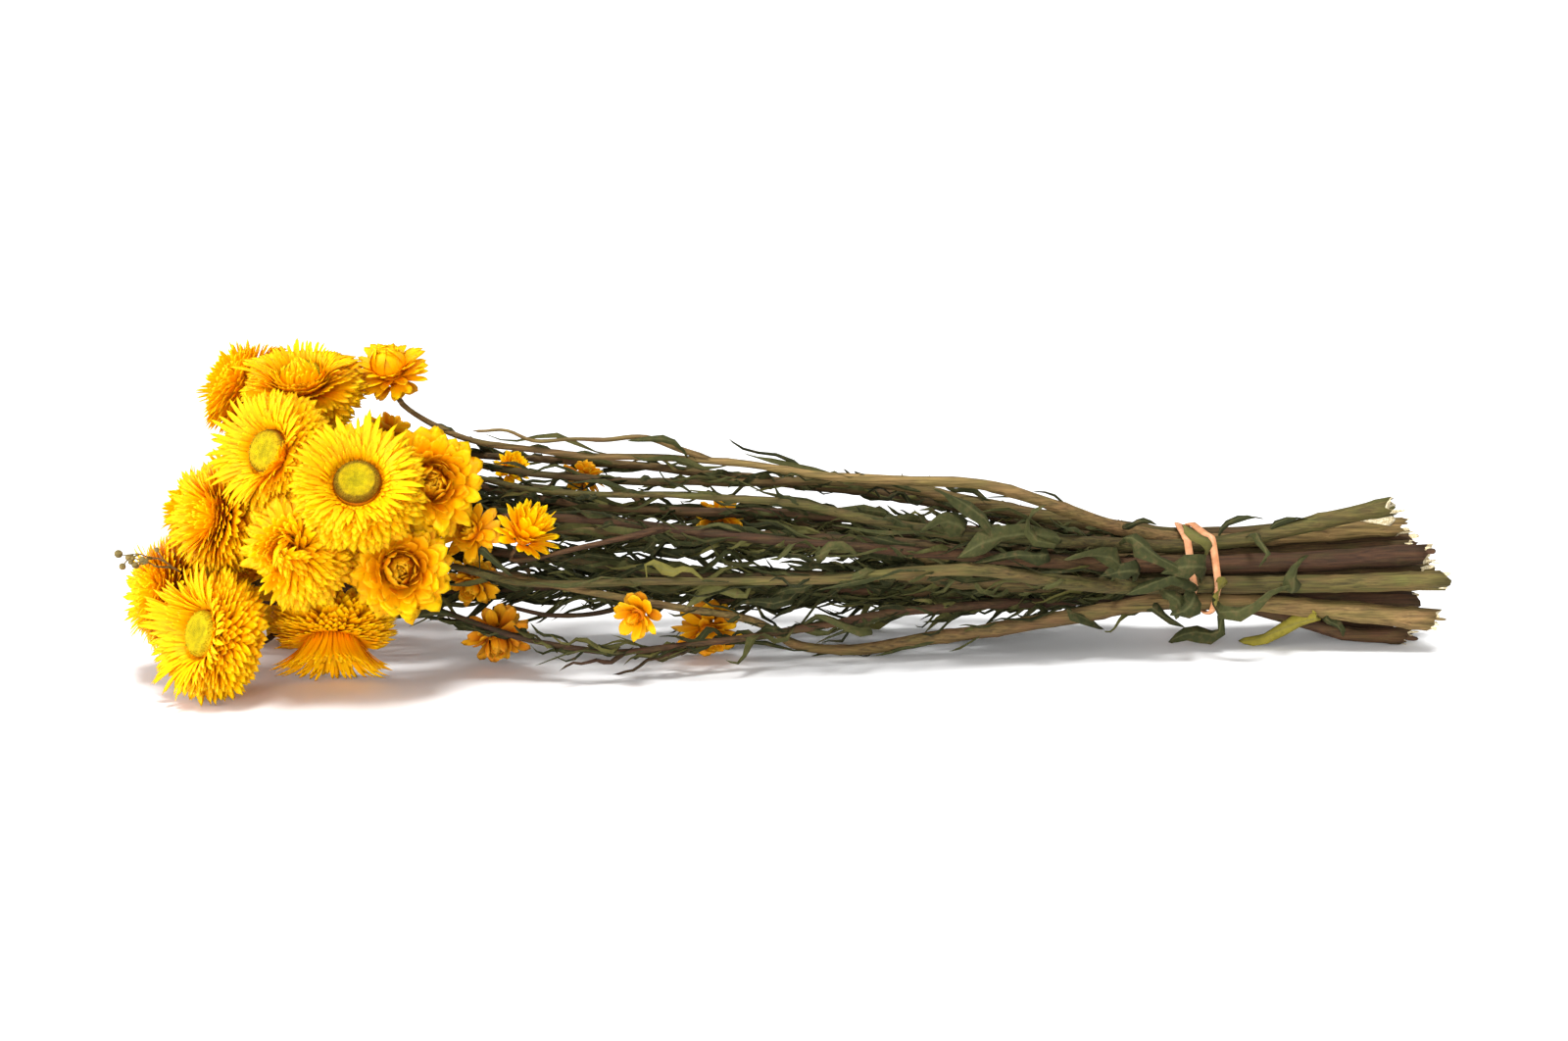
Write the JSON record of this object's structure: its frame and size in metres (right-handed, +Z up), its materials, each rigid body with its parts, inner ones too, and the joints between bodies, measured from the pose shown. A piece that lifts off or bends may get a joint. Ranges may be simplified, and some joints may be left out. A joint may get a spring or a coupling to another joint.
{
  "type": "dried strawflower bunch",
  "caption": "Tied bunch of dried strawflowers lying on its side: yellow papery heads at one end, brown stems with dry leaves, held together by a rubber band near the cut ends.",
  "frame": {"origin": "middle of the bounding box in plan, on the surface that the bunch lies on", "axes": "+X along the stems towards the cut ends, +Y away from the side seen first, +Z up"},
  "size_m": [0.4742, 0.1314, 0.1184],
  "materials": {
    "yellow_bracts": "dry, papery, silky sheen",
    "orange_bracts": "dry, papery, faded",
    "florets": "dry, matte, furry",
    "stem_and_leaf": "dry, matte, ribbed",
    "tan_rubber": "satin"
  },
  "bodies": {
    "root": {"bloom_back_high": "yellow_bracts", "bloom_back_left": "yellow_bracts", "bloom_back_low": "yellow_bracts", "bloom_back_mid": "yellow_bracts", "bloom_back_right": "yellow_bracts", "bloom_front_high": "yellow_bracts", "bloom_front_low": "yellow_bracts", "bloom_front_mid": "yellow_bracts", "bloom_left_high": "yellow_bracts", "bloom_left_mid": "yellow_bracts", "bloom_right_high": "yellow_bracts", "bloom_right_low": "yellow_bracts", "bloom_tip_high": "yellow_bracts", "bloom_tip_low": "yellow_bracts", "bloom_tip_under": "yellow_bracts", "bloom_top_left": "yellow_bracts", "bloom_top_mid": "yellow_bracts", "bloom_top_right": "yellow_bracts", "bloom_under_front": "yellow_bracts", "disc_back_high": "florets", "disc_back_left": "florets", "disc_back_low": "florets", "disc_front_high": "florets", "disc_front_low": "florets", "disc_left_high": "florets", "disc_top_mid": "florets", "disc_under_front": "florets", "rubber_band": "tan_rubber", "small_bright": "yellow_bracts", "small_bud": "yellow_bracts", "small_far": "orange_bracts", "small_floor": "orange_bracts", "small_front": "orange_bracts", "small_hanging": "orange_bracts", "small_high": "yellow_bracts", "small_middle": "orange_bracts", "small_rear": "orange_bracts", "small_top": "orange_bracts", "stem_high_a": "stem_and_leaf", "stem_high_b": "stem_and_leaf", "stem_high_c": "stem_and_leaf", "stem_high_d": "stem_and_leaf", "stem_low_a": "stem_and_leaf", "stem_low_b": "stem_and_leaf", "stem_low_c": "stem_and_leaf", "stem_low_d": "stem_and_leaf", "stem_mid_a": "stem_and_leaf", "stem_mid_b": "stem_and_leaf", "stem_mid_c": "stem_and_leaf", "stem_mid_d": "stem_and_leaf", "stem_mid_e": "stem_and_leaf", "stem_top_a": "stem_and_leaf", "stem_top_b": "stem_and_leaf", "stem_top_c": "stem_and_leaf"}
  },
  "joints": []
}
